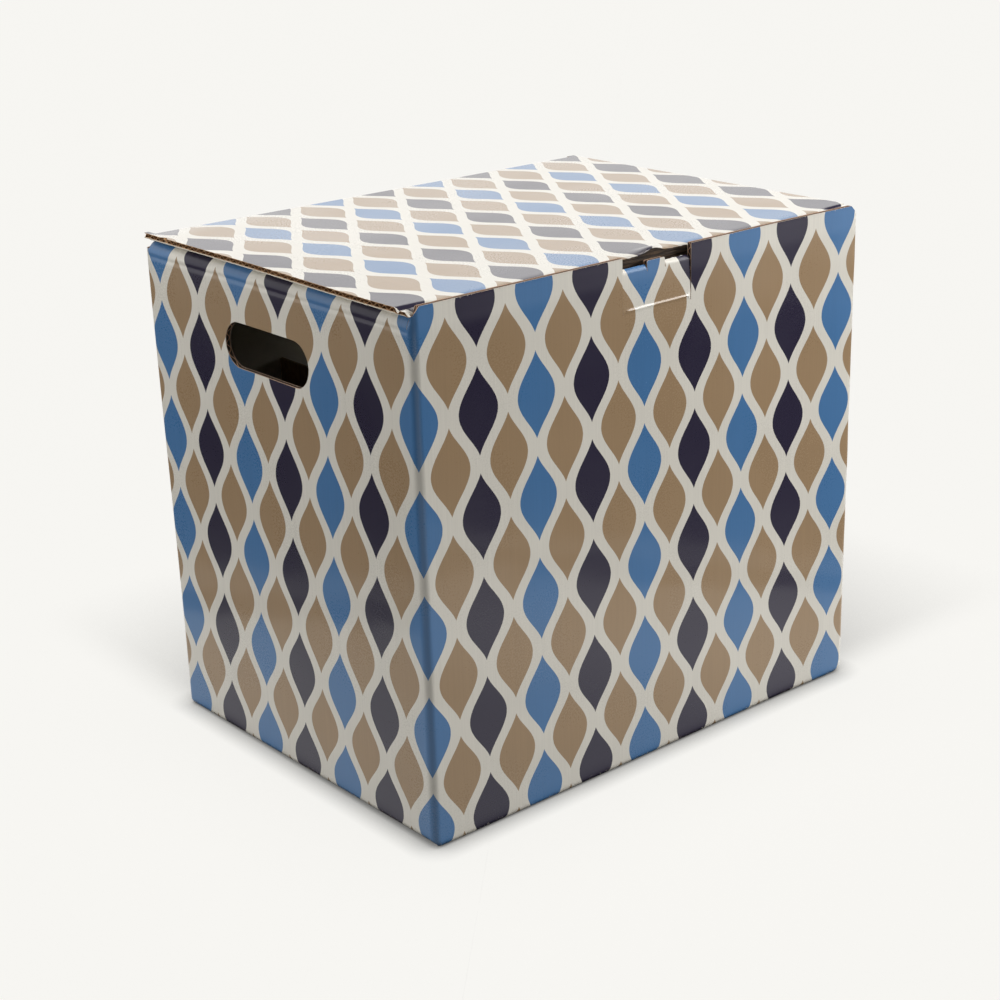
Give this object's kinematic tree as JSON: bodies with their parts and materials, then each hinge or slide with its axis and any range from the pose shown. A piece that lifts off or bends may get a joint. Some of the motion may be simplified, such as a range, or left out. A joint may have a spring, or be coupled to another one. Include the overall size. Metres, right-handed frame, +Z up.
{
  "type": "bottle gift box",
  "caption": "Printed corrugated carton with a hinged tuck-in lid, a lock tab, hand holes and crossing card dividers that keep bottles apart.",
  "frame": {"origin": "middle of the carton's base, on the floor", "axes": "+X along the front wall, towards its right end seen from the front; +Y from the front wall to the back wall, where the lid hinges; +Z up"},
  "size_m": [0.3544, 0.265, 0.319],
  "materials": {
    "printed_board": "white-lined corrugated board, printed outside and varnished",
    "divider_card": "plain brown card"
  },
  "bodies": {
    "carton": {"carton_body": "printed_board", "long_divider_front": "divider_card", "long_divider_back": "divider_card", "cross_divider_left": "divider_card", "cross_divider_middle": "divider_card", "cross_divider_right": "divider_card"},
    "lid": {"lid": "printed_board"}
  },
  "joints": [
    {"name": "lid_hinge", "type": "hinge", "parent": "carton", "child": "lid", "pos_m": [0, 0.1325, 0.3178], "axis": [-1, 0, 0], "range_deg": [0, 250]}
  ]
}
